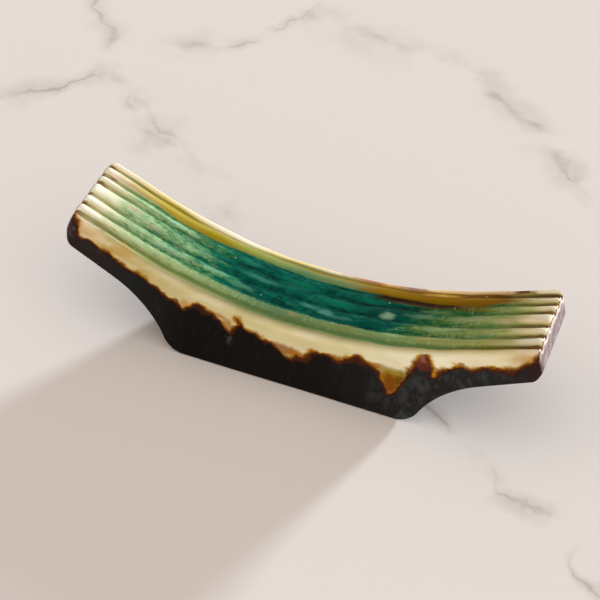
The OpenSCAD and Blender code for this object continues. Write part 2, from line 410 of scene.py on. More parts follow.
def glazed_form():
    """The whole outer surface, with its seams drawn and with what the coats read at each point"""
    block = block_of_clay()
    shell = bpy.data.meshes.new("glazed_form")
    block.to_mesh(shell)
    block.free()
    count = len(shell.vertices)
    place = np.empty(count * 3, np.float32)
    shell.vertices.foreach_get("co", place)
    place = place.reshape(-1, 3).astype(float)
    edges = np.empty(len(shell.edges) * 2, np.int32)
    shell.edges.foreach_get("vertices", edges)
    edges = edges.reshape(-1, 2)
    points = pressed(place)

    height = above_iron(points, place)
    none_fixed = np.zeros(count, bool)
    points, height = draw_seam(points, edges, height, none_fixed)
    points = onto_form(points, resettling_steps)
    on_top = place[:, 2] > block_face
    green = np.where(on_top, inside_green(points), -5)
    points, green = draw_seam(points, edges, green, height == 0)
    points = onto_form(points, resettling_steps)

    shell.vertices.foreach_set("co", (points * MM).ravel())
    x, y, z = points.T
    fields = {
        "above_iron": height,
        "inside_green": green,
        "groove": groove_share(x, y) * eased(-out_of_top(x, y, z), 1.2, 0.4),
        "tip": eased(out_of_tip(x, z), -0.5, -0.1),
    }
    for name, values in fields.items():
        layer = shell.attributes.new(name, "FLOAT", "POINT")
        layer.data.foreach_set("value", values.astype(np.float32))
    return shell


shell = glazed_form()
bare_foot_height = 0.12
coat_thickness = 0.3
into_scene = bpy.context.scene.collection.objects.link


def coat_from_form(coat):
    """Cuts one coat out of the form, as wide as its glaze ran, and gives it its thickness"""
    cut = bmesh.new()
    cut.from_mesh(shell)
    height = cut.verts.layers.float["above_iron"]
    green = cut.verts.layers.float["inside_green"]
    for layer in (height, green):
        seam = [v for v in cut.verts if v[layer] == 0]
        bmesh.ops.connect_verts(cut, verts=seam)
    others = []
    for face in cut.faces:
        if sum(v[height] for v in face.verts) < 0:
            ran_here = "iron"
        elif sum(v[green] for v in face.verts) > 0:
            ran_here = "green"
        else:
            ran_here = "pale"
        if max(v.co.z for v in face.verts) < bare_foot_height * MM or ran_here != coat:
            others.append(face)
    bmesh.ops.delete(cut, geom=others, context="FACES")
    for face in cut.faces:
        face.smooth = True
    for edge in cut.edges:
        edge.smooth = not edge.is_boundary
    mesh = bpy.data.meshes.new(coat + "_coat")
    cut.to_mesh(mesh)
    cut.free()
    piece = bpy.data.objects.new(coat + "_coat", mesh)
    wall = piece.modifiers.new("coat_thickness", "SOLIDIFY")
    wall.thickness = coat_thickness * MM
    wall.offset = -1
    into_scene(piece)
    return piece


def in_grains(bed, grain_mm, place="uneven_place"):
    """A place counted in grains that have a real size along, across and up the rest"""
    shares = tuple(1 / size for size in grain_mm)
    return add(bed["tree"], "VectorMath", {0: bed[place], 1: shares}, operation="MULTIPLY")


def run_noise(bed, grain_mm, detail=2):
    """Noise whose grain has a real size along, across and up the rest, 0.5 on average"""
    where = in_grains(bed, grain_mm, "place")
    return add(bed["tree"], "TexNoise", {"Vector": where, "Scale": 1, "Detail": detail})


def ragged(bed, value, reach, grain_mm, detail=2):
    """A value made uneven by noise, as the edge or the depth of a run of glaze is"""
    tree = bed["tree"]
    swing = add(tree, "Math", {0: run_noise(bed, grain_mm, detail), 1: -0.5}, operation="ADD")
    return add(tree, "Math", {0: swing, 1: 2 * reach, 2: value}, operation="MULTIPLY_ADD")


def soft_step(bed, value, start, end, most=1.0):
    """0 before the start, its most past the end, and a soft rise between them"""
    return add(bed["tree"], "MapRange", {"Value": value, "From Min": start, "From Max": end,
                                         "To Max": most}, interpolation_type="SMOOTHSTEP")


def both(bed, first, second):
    """The product of two shares"""
    return add(bed["tree"], "Math", {0: first, 1: second}, operation="MULTIPLY")


def band(bed, value, low, high, soft):
    """1 between two places and 0 outside, with soft edges"""
    return both(bed, soft_step(bed, value, low - soft, low + soft),
                soft_step(bed, value, high + soft, high - soft))


def blot(bed, centre, size, soft, place="uneven_place"):
    """1 inside an oval blot and 0 outside"""
    tree = bed["tree"]
    off = add(tree, "VectorMath", {0: bed[place], 1: centre}, operation="SUBTRACT")
    even = add(tree, "VectorMath", {0: off, 1: size}, operation="DIVIDE")
    reach = add(tree, "VectorMath", {0: even}, operation="LENGTH").outputs["Value"]
    return soft_step(bed, reach, 1 + soft, 1 - soft)


def laid_over(bed, under, over, share, strength=1.0):
    """One colour over another, by a share and a strength"""
    if strength != 1:
        share = both(bed, share, strength)
    under, over = (fired(c) if isinstance(c, str) else c for c in (under, over))
    return add(bed["tree"], "Mix", {"Factor": share, "A": under, "B": over}, data_type="RGBA")


ramp_reach = 40


def along_the_rest(bed, value, stops):
    """Colours that change along the rest, given at places in mm"""
    share = add(bed["tree"], "MapRange", {"Value": value, "From Min": -ramp_reach,
                                          "From Max": ramp_reach})
    return add(bed["tree"], "ValToRGB", {"Fac": share},
               stops=[((x + ramp_reach) / (2 * ramp_reach), colour) for x, colour in stops])


def wandering(tree, place, grain_mm, reach_mm, detail):
    """A place that noise pushes about, to each side by up to half its reach"""
    noise = add(tree, "TexNoise", {"Vector": place, "Scale": 1 / grain_mm, "Detail": detail})
    swing = add(tree, "VectorMath", {0: noise.outputs["Color"], 1: (-0.5, -0.5, -0.5)},
                operation="ADD")
    return add(tree, "VectorMath", {0: swing, 1: reach_mm, 2: place}, operation="MULTIPLY_ADD")


# The streaks in which glaze runs: their size, and how far they push its edges
run_grain_mm, run_reach_mm = 1.4, (1.6, 0.9, 1.2)
along_grain_mm, along_reach_mm = (2.4, 1.1, 2.4), 2.6
across_grain_mm, across_reach_mm = (5, 1.6, 9), 0.32


def coat_ground(name):
    """A glaze material with what all three coats read: seams, grooves and uneven places"""
    finish, tree, surface, place = new_finish(name)
    axes = add(tree, "SeparateXYZ", {"Vector": place})
    bed = {"tree": tree, "surface": surface, "place": place, "along": axes.outputs["X"],
           "across": axes.outputs["Y"]}
    for field in ("above_iron", "groove", "tip"):
        bed[field] = add(tree, "Attribute", attribute_name=field).outputs["Fac"]
    bed["uneven_place"] = wandering(tree, place, run_grain_mm, run_reach_mm, 2)
    bed["streak_along"] = ragged(bed, bed["along"], along_reach_mm, along_grain_mm)
    bed["streak_across"] = ragged(bed, bed["across"], across_reach_mm, across_grain_mm)
    return finish, bed


# How deep the green glass lies, as a share, and the colour that each depth gives
green_depths = ((0, "#f5efe2"), (0.1, "#e6e0ba"), (0.2, "#cbd0a0"), (0.3, "#aabf8a"),
                (0.4, "#89aa78"), (0.5, "#6d9562"), (0.6, "#4b7d50"), (0.7, "#206645"),
                (0.8, "#005948"), (0.9, "#00463a"), (1, "#002a22"))
# The same depth along the rest, at places in mm: shallow on the wings, a pool in the hollow
pool_depths = ((-40, 0.38), (-26, 0.42), (-21, 0.47), (-17, 0.56), (-13.5, 0.7), (-11, 0.8),
               (0, 0.83), (11, 0.84), (15, 0.81), (18, 0.67), (21, 0.56), (27, 0.46), (40, 0.4))
# What is left of it towards the tips, and in lanes across the top
tip_fade = ((0, 1), (25, 1), (29, 0.88), (31.5, 0.78), (33.5, 0.56), (35.5, 0.3), (40, 0.06))
lane_depths = ((-8.4, 0.15), (-7.3, 0.3), (-6.6, 0.8), (-5.6, 0.72), (-4.4, 0.84), (-3.8, 1.02),
               (-2.5, 0.97), (-1, 1.03), (0.4, 1.0), (2.1, 1.05), (3.4, 0.98), (4.5, 1.0),
               (5.2, 0.62), (7, 0.7), (8.4, 0.3))
# Where iron shows through: colours along the lanes, grooves and edges, at places in mm. The back
# rim's pale stretches are a painted highlight.
back_lane_colours = ((-38, "#ecd8b8"), (-33, "#c8b074"), (-28, "#b59e38"), (-18, "#9c8812"),
                     (-11, "#8d9240"), (-3, "#608558"), (5, "#7a8650"), (9, "#806400"),
                     (26, "#765200"), (30, "#744802"), (33, "#a09050"), (38, "#cfc28e"))
back_groove_colours = ((-38, "#d8be86"), (-34, "#8a7414"), (-24, "#948430"), (-18, "#b8a868"),
                       (-9, "#a0a05a"), (-3, "#a08c3c"), (10, "#9c7222"), (16, "#96660e"),
                       (20, "#f0bc48"), (24, "#7c5010"), (31, "#463002"), (38, "#50340c"))
back_rim_colours = ((-38, "#fdf3dc"), (-28, "#fbe79e"), (-15, "#fcf1d6"), (-5, "#f2da80"),
                    (2, "#f5e4bc"), (7, "#c08a60"), (9.5, "#b87c54"), (11, "#eabc6c"),
                    (14.4, "#a8847a"), (16.6, "#b88c74"), (18, "#f4d49c"), (30.5, "#cfb084"),
                    (31.5, "#683414"), (33.4, "#5e2e10"), (34.8, "#e8dcb4"), (38, "#f0e6c8"))
front_rib_colours = ((-38, "#f0e4cc"), (-34, "#cfcb9c"), (-29, "#a0ab76"), (-20, "#88985f"),
                     (-5, "#637c52"), (8, "#7a8246"), (14, "#768e58"), (30, "#91914c"),
                     (38, "#d4caa0"))
front_groove_colours = ((-38, "#7c5414"), (-34, "#665204"), (-29, "#78803c"), (-8, "#5e723f"),
                        (18, "#5a7942"), (25, "#5c7134"), (30, "#5e5a0a"), (38, "#825c14"))
front_lip_colours = ((-36, "#e8d29a"), (-31, "#a89e62"), (-12, "#857e46"), (8, "#8a8250"),
                     (14, "#a0986a"), (38, "#c0aa70"))
tip_groove_colours = ((-38, "#7c5a2c"), (-36, "#beb07a"), (-33, "#84905c"), (33, "#5e5614"),
                      (36, "#4a3204"), (38, "#4c2c04"))
# Near white laid on the crests near the tips: thin glaze there, and partly a painted highlight
crest = "#fbf6ee"
# Over the right wing the glass is browner: what it leaves of red, green and blue
sun_warmed = (0.8, 0.67, 0.43, 1)
# How much farther the pool reaches along the back than along the front, per mm across
left_fan, right_fan = 0.03, 0.07
chip_grain_mm = (2.2, 0.75, 9)
craze_grain_mm = (1.6, 1.15, 9)
pale_craze_grain_mm = (1.3, 6, 9)


def pool_depth(bed):
    """How deep the green glass lies: a pool in the hollow, streaked by the comb and chipped"""
    tree = bed["tree"]
    fan = add(tree, "MapRange", {"Value": bed["along"], "From Min": -15, "From Max": 15,
                                 "To Min": -left_fan, "To Max": -right_fan})
    side = add(tree, "Math", {0: bed["across"], 1: fan, 2: 1.0}, operation="MULTIPLY_ADD")
    fanned = both(bed, bed["streak_along"], side)
    depth = None
    shifted = add(tree, "Math", {0: bed["streak_along"], 1: -0.3}, operation="ADD")
    far = add(tree, "Math", {0: shifted}, operation="ABSOLUTE")
    for value, low, high, stops in ((fanned, -ramp_reach, ramp_reach, pool_depths),
                                    (far, 0, ramp_reach, tip_fade),
                                    (bed["streak_across"], -half_width, half_width, lane_depths)):
        share = add(tree, "MapRange", {"Value": value, "From Min": low, "From Max": high})
        curve = add(tree, "FloatCurve", {"Value": share},
                    stops=[((at - low) / (high - low), depth_at) for at, depth_at in stops])
        depth = curve if depth is None else both(bed, depth, curve)
    clear = soft_step(bed, depth, 0.85, 0.5, 0.12)
    groove = soft_step(bed, bed["groove"], 0.1, 0.95)
    depth = add(tree, "Math", {0: clear, 1: groove, 2: depth}, operation="MULTIPLY_ADD")
    wet = soft_step(bed, depth, 0.05, 0.3)
    streaked = ragged(bed, ragged(bed, 0, 0.15, (2.2, 0.42, 9), 3), 0.16, (0.9, 0.5, 9))
    chips = add(tree, "TexVoronoi", {"Vector": in_grains(bed, chip_grain_mm), "Scale": 1})
    chip = add(tree, "SeparateColor", {"Color": chips.outputs["Color"]}).outputs["Red"]
    chipped = add(tree, "MapRange", {"Value": chip, "To Min": -0.05, "To Max": 0.07})
    swing = add(tree, "Math", {0: streaked, 1: chipped}, operation="ADD")
    swing = both(bed, swing, soft_step(bed, depth, 0.15, 0.5, 1.4))
    for value, start, end, least in ((depth, 0.7, 0.85, 0.7), (bed["along"], 8, 20, 0.55)):
        calm = add(tree, "MapRange", {"Value": value, "From Min": start, "From Max": end,
                                      "To Min": 1, "To Max": least})
        swing = both(bed, swing, calm)
    return add(tree, "Math", {0: swing, 1: wet, 2: depth}, operation="MULTIPLY_ADD")


def craze_lines(bed, width, grain_mm, whole):
    """Thin broken lines where the glaze has crazed"""
    cells = add(bed["tree"], "TexVoronoi", {"Vector": in_grains(bed, grain_mm), "Scale": 1},
                feature="DISTANCE_TO_EDGE")
    line = soft_step(bed, cells.outputs["Distance"], width, width / 3)
    return both(bed, line, soft_step(bed, run_noise(bed, (3, 1.6, 9)), whole, whole + 0.08))


# Marks on the top: place along and across, half their length and width, colour and strength
top_marks = (
    (-2.6, 2.6, 3.4, 0.7, "#0c7a5c", 0.5), (5.2, 0.4, 3, 0.8, "#0a7657", 0.5),
    (9.5, 2.8, 2.6, 0.5, "#08775a", 0.5), (-8.6, 0.4, 2.6, 0.45, "#4d957c", 0.45),
    (0.6, -2, 1.3, 0.5, "#5c9c88", 0.35), (3.4, -2.4, 1.2, 0.6, "#6ba592", 0.45),
    (5.8, -2.9, 1.8, 0.4, "#4c8f7b", 0.4), (-15.5, -1.9, 2.4, 0.45, "#8ac09a", 0.4),
    (-19.5, 0.4, 3.4, 0.45, "#9ccaa4", 0.2), (-23.5, -2.8, 3, 0.5, "#a6cfa6", 0.4),
    (-25, 3.4, 2.8, 0.5, "#9ec9a0", 0.4), (18.3, 0.6, 2.4, 0.5, "#8aae84", 0.25),
    (21.5, -2.3, 2.8, 0.5, "#a3b98c", 0.4), (26.5, 0.5, 3.2, 0.6, "#b3b587", 0.4),
    (-4.2, 1.5, 1.8, 0.3, "#003c2e", 0.6), (3.4, -0.9, 1.5, 0.35, "#003e30", 0.6),
    (8.2, 1.7, 1.7, 0.25, "#002a20", 0.7), (-11.2, 1.6, 2.6, 0.4, "#004433", 0.6),
    (-12.5, -0.6, 0.9, 0.4, "#023c2b", 0.7), (6, -1.3, 1.1, 0.35, "#003a2a", 0.7),
    (10.2, -2.8, 1.4, 0.4, "#004a39", 0.6), (-26.8, -1.2, 1, 0.35, "#2f6b4c", 0.6),
    (-21.2, 1.3, 1.1, 0.3, "#2a6447", 0.6), (28.6, -3.7, 1.4, 0.4, "#4f7c58", 0.6),
    (31.9, 0.1, 1.8, 0.5, "#c9a988", 0.55), (-31, 1, 1.4, 0.5, "#d0ae92", 0.6),
    (-27.4, -0.2, 1, 0.45, "#b9a58a", 0.45), (-1.4, -5, 0.9, 0.4, "#a8845e", 0.4),
    (20.5, -4.8, 1.6, 0.35, "#bd9a5c", 0.45), (15.6, -4.6, 1.3, 0.4, "#9cbc7c", 0.5),
    (-11.2, -2.7, 2.2, 0.5, "#5c9c7c", 0.5), (-11.4, 3.2, 2, 0.5, "#2c8866", 0.45),
    (-35.2, -6.7, 2.3, 0.6, "#5a4604", 0.8), (20.2, 2.3, 2.4, 0.4, "#7c9c60", 0.4),
    (12.5, -0.5, 1.7, 1.2, "#003e30", 0.5), (13, -0.15, 1.05, 0.75, "#80a686", 0.9),
)
# Painted highlights: tiny white glints laid on the top as dots, at places along and across in mm
painted_glints = ((-20.7, 1.4), (-14.0, 2.8), (-17.4, -2.2), (-7.4, -3.0), (12.2, 3.1), (22.7, 3.4),
            (26.8, 6.9), (15.2, -3.1), (5.2, -4.4))
glint_radius = 0.11
fleck_grain_mm = (0.7, 0.4, 9)
stroke_grain_mm = (1.5, 0.35, 9)
# Lanes across the top: where each begins and ends, and how soft its edges are
front_lip_lane = (-8.3, -7.2, 0.25)
front_groove_lane = (-7.25, -6.05, 0.28)
front_rib_lane = (-6.3, -4.35, 0.3)
amber_lane = (4.95, 8.6, 0.3)
glow_lane = (5.2, 6.0, 0.3)
back_groove_lane = (6.4, 7.1, 0.25)
umber_lane = (4.1, 5.7, 0.5)
dark_line_lane = (4.25, 5.5, 0.3)
mark_height = 13


def combed_top_colour(bed):
    """The glazed top, the same for the pale and the green coat so that they melt together"""
    tree = bed["tree"]
    along, across = bed["streak_along"], bed["streak_across"]
    colour = add(tree, "ValToRGB", {"Fac": pool_depth(bed)}, stops=green_depths)
    warm_share = both(bed, soft_step(bed, along, 13, 20), soft_step(bed, along, 42, 35))
    colour = add(tree, "Mix", {"Factor": warm_share, "A": colour, "B": sun_warmed},
                 data_type="RGBA", blend_type="MULTIPLY")

    # The rib and the groove beside the front flank, where iron has stained the glass olive
    rough_across = ragged(bed, across, 0.8, (0.9, 0.6, 9), 3)
    front_rib = band(bed, rough_across, *front_rib_lane)
    front_groove = band(bed, across, *front_groove_lane)
    front_lip = band(bed, across, *front_lip_lane)
    for stops, lane, strength in ((front_rib_colours, front_rib, 0.82),
                                  (front_groove_colours, front_groove, 0.9),
                                  (front_lip_colours, front_lip, 0.8)):
        stain = along_the_rest(bed, along, stops)
        colour = laid_over(bed, colour, stain, lane, strength)

    # Amber glass along the back, with a dark line where it meets the green
    lane_bow = add(tree, "Math", {0: band(bed, bed["along"], -27, -16, 3), 1: 0.35,
                                  2: both(bed, soft_step(bed, bed["along"], 8, 18, 0.75),
                                          soft_step(bed, bed["along"], 31, 25))},
                   operation="MULTIPLY_ADD")
    lane_place = add(tree, "Math", {0: across, 1: lane_bow}, operation="ADD")
    amber = along_the_rest(bed, along, back_lane_colours)
    colour = laid_over(bed, colour, amber, band(bed, lane_place, *amber_lane), 0.97)
    glow = both(bed, band(bed, across, *glow_lane), band(bed, along, 9, 29, 3))
    colour = laid_over(bed, colour, "#946a02", glow, 0.7)
    stain = along_the_rest(bed, along, back_groove_colours)
    colour = laid_over(bed, colour, stain, band(bed, across, *back_groove_lane), 0.9)
    line_place = add(tree, "Math", {0: bed["along"], 1: 0.05, 2: across},
                     operation="MULTIPLY_ADD")
    umber = both(bed, band(bed, line_place, *umber_lane), band(bed, along, 13, 29, 3))
    colour = laid_over(bed, colour, "#685404", umber, 0.75)
    dark_line = both(bed, band(bed, line_place, *dark_line_lane), band(bed, along, 10.5, 23.5, 2))
    colour = laid_over(bed, colour, "#2c0e00", dark_line)

    # Marks left by the comb, by bubbles and by grit, and lines of crazing
    left_glass = both(bed, band(bed, bed["along"], -24, 14, 4), band(bed, across, -4.6, 4.7, 0.3))
    dark_craze = craze_lines(bed, 0.1, craze_grain_mm, 0.49)
    colour = laid_over(bed, colour, "#06382a", both(bed, dark_craze, left_glass), 0.48)
    pale_craze = craze_lines(bed, 0.05, pale_craze_grain_mm, 0.46)
    wings = both(bed, soft_step(bed, bed["along"], 14, 20), band(bed, across, -6.4, 4, 0.4))
    cracked = add(tree, "Math", {0: wings, 1: front_rib}, operation="MAXIMUM")
    colour = laid_over(bed, colour, "#c3cf9c", both(bed, pale_craze, cracked), 0.16)
    fleck = soft_step(bed, run_noise(bed, fleck_grain_mm, 3), 0.58, 0.68)
    on_wing = both(bed, band(bed, along, -34, -22, 3), band(bed, across, -6, 4.4, 0.3))
    colour = laid_over(bed, colour, "#cfe2c0", both(bed, fleck, on_wing), 0.22)
    stroke = soft_step(bed, run_noise(bed, stroke_grain_mm), 0.57, 0.66)
    colour = laid_over(bed, colour, "#1c5c40", both(bed, stroke, on_wing), 0.5)
    for x, y, length, width, mark, strength in top_marks:
        spot = blot(bed, (x, y, mark_height), (length, width, 40), 0.6)
        colour = laid_over(bed, colour, mark, spot, strength)

    # Brown in the grooves' ends, and crests that the glass has run off, whitened further by a
    # painted highlight
    far = add(tree, "Math", {0: along}, operation="ABSOLUTE")
    near_tip = soft_step(bed, far, 29.5, 34.5)
    deep = soft_step(bed, ragged(bed, bed["groove"], 0.2, (2, 0.4, 9)), 0.3, 0.95)
    browned = along_the_rest(bed, along, tip_groove_colours)
    colour = laid_over(bed, colour, browned, both(bed, near_tip, deep), 0.92)
    bare_crests_and_highlight = both(bed, soft_step(bed, far, 32.5, 36.5), soft_step(bed, bed["groove"], 0.3, 0.02))
    colour = laid_over(bed, colour, crest, bare_crests_and_highlight, 0.35)
    lip = both(bed, soft_step(bed, ragged(bed, far, 0.5, (1, 0.9, 9)), 36.7, 37.7), deep)
    colour = laid_over(bed, colour, "#6e3c14", lip, 0.8)
    # The back rim: its own amber and red-brown marks, and pale stretches that are a painted
    # highlight of the low sun
    rim_bow = both(bed, band(bed, bed["along"], -23, -9, 4), 0.26)
    bowed = add(tree, "Math", {0: bed["across"], 1: rim_bow}, operation="ADD")
    back_rim = soft_step(bed, ragged(bed, bowed, 0.12, (2.5, 1, 9)), 7.15, 7.65)
    colour = laid_over(bed, colour, along_the_rest(bed, along, back_rim_colours), back_rim)
    # Painted highlights: tiny white glints on the glaze
    for x, y in painted_glints:
        dot = blot(bed, (x, y, mark_height), (glint_radius, glint_radius, 40), 0.5, "place")
        colour = laid_over(bed, colour, "#f2f8f2", dot, 0.5)
    return colour


# The pale coat's melted edge, from iron to cream
rim_stops = ((0, "#0d0908"), (0.15, "#1c0e0b"), (0.3, "#341812"), (0.45, "#58280c"),
             (0.54, "#86560a"), (0.64, "#b07c12"), (0.8, "#ccaa50"), (1, "#dcc682"))
rim_width = 1.1
# Amber and red-brown places on the front flank: along and up, half their size, colour, strength
rim_marks = (
    (-1.4, 7.6, 2.6, 1, "#8a5206", 0.85), (0.6, 7.4, 1.6, 0.8, "#a86a0a", 0.85),
    (16.5, 8.3, 2.3, 1.8, "#946600", 1), (16.8, 7, 1.1, 1.9, "#7c4600", 1),
    (18.1, 8.7, 0.7, 1.7, "#603a00", 0.8), (16.7, 9.8, 2.4, 0.8, "#948428", 0.7),
    (16, 7.6, 0.5, 1.4, "#784606", 0.6), (23, 12, 0.6, 1, "#c88010", 0.9),
    (20.4, 12.6, 0.4, 1.2, "#8a3c14", 0.6), (-10.9, 9, 0.9, 1.3, "#9c6a08", 0.8),
    (-29.6, 17.4, 2.2, 0.9, "#bc9440", 0.6), (-18.4, 10.9, 0.7, 0.9, "#b88222", 0.7),
    (-37.4, 19.8, 0.8, 1.8, "#b07c28", 0.6), (7.6, 9, 1.3, 0.7, "#a06a14", 0.8),
    (13.6, 9.9, 1.3, 0.5, "#a06414", 0.8), (-12.6, 10.4, 1.4, 0.6, "#a46a16", 0.7),
    (27.4, 15.2, 0.7, 0.35, "#8a4818", 0.7),
)
mark_depth = 2.2


def marked_flank(bed, colour, marks, soft, share=1.0):
    """Soft oval marks over the front flank's colour"""
    for x, z, length, height, mark, strength in marks:
        spot = blot(bed, (x, -half_width, z), (length, mark_depth, height), soft)
        colour = laid_over(bed, colour, mark, both(bed, spot, share), strength)
    return colour


def with_melted_rim(bed, colour, start, end, share=1.0):
    """Near the seam the pale coat thins out over iron: amber, then red-brown, then black"""
    tree = bed["tree"]
    edge = ragged(bed, bed["above_iron"], 0.5, (1.3, 1.3, 1.3), 1)
    edge = ragged(bed, edge, 0.22, (0.55, 0.55, 0.55), 1)
    halo = add(tree, "MapRange", {"Value": run_noise(bed, (3.5, 3.5, 3.5)), "From Min": 0.3,
                                  "From Max": 0.7, "To Min": 2.0, "To Max": 0.55})
    spread = both(bed, edge, halo)
    place = add(tree, "MapRange", {"Value": spread, "From Min": -rim_width, "From Max": rim_width})
    rim = add(tree, "ValToRGB", {"Fac": place}, stops=rim_stops)
    burnt = soft_step(bed, run_noise(bed, (2.2, 2.2, 2.2)), 0.4, 0.6)
    rim = laid_over(bed, rim, "#482008", burnt, 0.6)
    colour = laid_over(bed, colour, rim, both(bed, soft_step(bed, spread, start, end), share))
    above = soft_step(bed, spread, 0.05, 0.45)
    return marked_flank(bed, colour, rim_marks, 0.45, above)


glass_ior = 1.5


def finish_glaze(bed, colour, relief, uneven, smoothest, roughest, shine):
    """Joins up a coat's finish: its unevenly rough surface, the IOR of glass, and its shine"""
    rough = add(bed["tree"], "MapRange", {"Value": uneven, "To Min": smoothest,
                                          "To Max": roughest})
    bed["surface"].inputs["IOR"].default_value = glass_ior
    bed["surface"].inputs["Specular IOR Level"].default_value = shine
    join_finish(bed["tree"], bed["surface"], colour, rough, relief)


comb_line_mm = (4, 0.3, 4)


def glassy_relief(bed, wave_mm, height_mm):
    """Slow waves in a glaze that has flowed, and the fine lines of the comb under it"""
    tree = bed["tree"]
    waves = run_noise(bed, (wave_mm, wave_mm, wave_mm), 3)
    combed = run_noise(bed, comb_line_mm)
    height = add(tree, "Math", {0: combed, 1: 0.3, 2: waves}, operation="MULTIPLY_ADD")
    return add(tree, "Bump", {"Height": height, "Strength": 1, "Distance": height_mm * MM})


# Pale glaze
# Wood-ash glaze poured over the ribs, the rim and the upper flanks. It is thick and creamy
# where it stood, and its lower edge ran down over the iron glaze before it set.

flank_colours = ((-38, "#c69e68"), (-35, "#ceb274"), (-27, "#bca656"), (-21, "#cbbe88"),
                 (-8, "#d6ca96"), (9, "#dad09e"), (22, "#efebcc"), (33, "#e1dab2"),
                 (37, "#bc8c3e"))


def pale_ash_glaze():
    """Glossy wood-ash glaze: warm cream, amber where it is thin over iron"""
    finish, bed = coat_ground("pale_ash_glaze")
    tree = bed["tree"]
    flank = along_the_rest(bed, bed["streak_along"], flank_colours)
    runs = soft_step(bed, run_noise(bed, (5, 9, 3), 1), 0.42, 0.75)
    flank = laid_over(bed, flank, "#c4a868", runs, 0.16)
    milk = soft_step(bed, run_noise(bed, (7, 9, 2.4), 1), 0.45, 0.7)
    flank = laid_over(bed, flank, "#f2ead0", milk, 0.4)
    on_front = soft_step(bed, ragged(bed, bed["across"], 0.12, (2, 0.8, 9)), -7.3, -8.5)
    on_back = soft_step(bed, bed["across"], 8.1, 8.3)
    # Painted shade: the back flank, which the low sun lights, is painted darker
    flank = laid_over(bed, flank, "#a88a50", on_back, 0.55)
    on_flank = add(tree, "Math", {0: on_front, 1: on_back}, operation="MAXIMUM")
    colour = laid_over(bed, combed_top_colour(bed), flank, on_flank)
    colour = with_melted_rim(bed, colour, 0.95, 0.25)
    uneven = run_noise(bed, (2, 2, 2))
    finish_glaze(bed, colour, glassy_relief(bed, 1.6, 0.035), uneven, 0.16, 0.34, 0.09)
    return finish


pale_coat = coat_from_form("pale")
pale_coat.data.materials.append(pale_ash_glaze())
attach(pale_coat, "root")
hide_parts("cream_glaze")


# Green glaze
# Copper glass that was brushed on over the ash glaze and ran together in the hollow. It half
# fills the comb grooves there, and thins to pale green where the wings rise.

def copper_green_glass():
    """Deep, wet-looking copper glass, with bubbles, chips and crazing from its cooling"""
    finish, bed = coat_ground("copper_green_glass")
    uneven = run_noise(bed, (1.5, 0.8, 2))
    finish_glaze(bed, combed_top_colour(bed), glassy_relief(bed, 1.1, 0.05), uneven,
                 0.1, 0.26, 0.06)
    return finish


green_coat = coat_from_form("green")
green_coat.data.materials.append(copper_green_glass())
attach(green_coat, "root")
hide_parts("green_glaze")


# Iron glaze
# The first coat, an iron-rich slip glaze over the whole bar. It stayed near black and half
# matt where nothing covers it: on the flanks, the ends and the undersides.

iron_shades = ((-38, "#2a1c1a"), (-29, "#1d1f1e"), (-18, "#0f0b08"), (6, "#12100e"),
               (19, "#1e1f1f"), (34, "#201f1f"), (39, "#2e1c18"))
# Greyer places on the front flank, partly bloom and partly a painted sheen: along and up, half
# their size, colour, strength
iron_marks = (
    (18.8, 5.6, 1, 1.6, "#3c3e3f", 0.7), (21.5, 8.8, 1.6, 1.5, "#414344", 0.7),
    (15.2, 3.2, 2.2, 0.9, "#2c2d2e", 0.6), (14.2, 6.3, 0.8, 1.2, "#34363a", 0.6),
    (25, 11.8, 1, 0.8, "#3a3d3e", 0.6), (30.2, 14.4, 1.6, 0.9, "#3a4241", 0.6),
    (34, 15.2, 1.4, 0.7, "#383a3a", 0.6), (-10.4, 6.6, 0.5, 1.2, "#5a5058", 0.6),
    (-33.8, 16.4, 2.2, 0.7, "#2c332f", 0.6), (-23, 7.6, 1.2, 2.2, "#232523", 0.6),
    (7.8, 7.2, 2, 0.8, "#24221f", 0.6), (-37.9, 19.4, 0.5, 1.6, "#6a5a60", 0.5),
)
# Where the pale glaze drew back off the iron, told in the same way
burnt_marks = ((21.2, 13.4, 1.0, 1.7, "#743620", 0.9), (21.1, 13.9, 0.5, 0.8, "#985a46", 0.7),
               (21.6, 12.4, 0.9, 0.8, "#4c2418", 0.6))


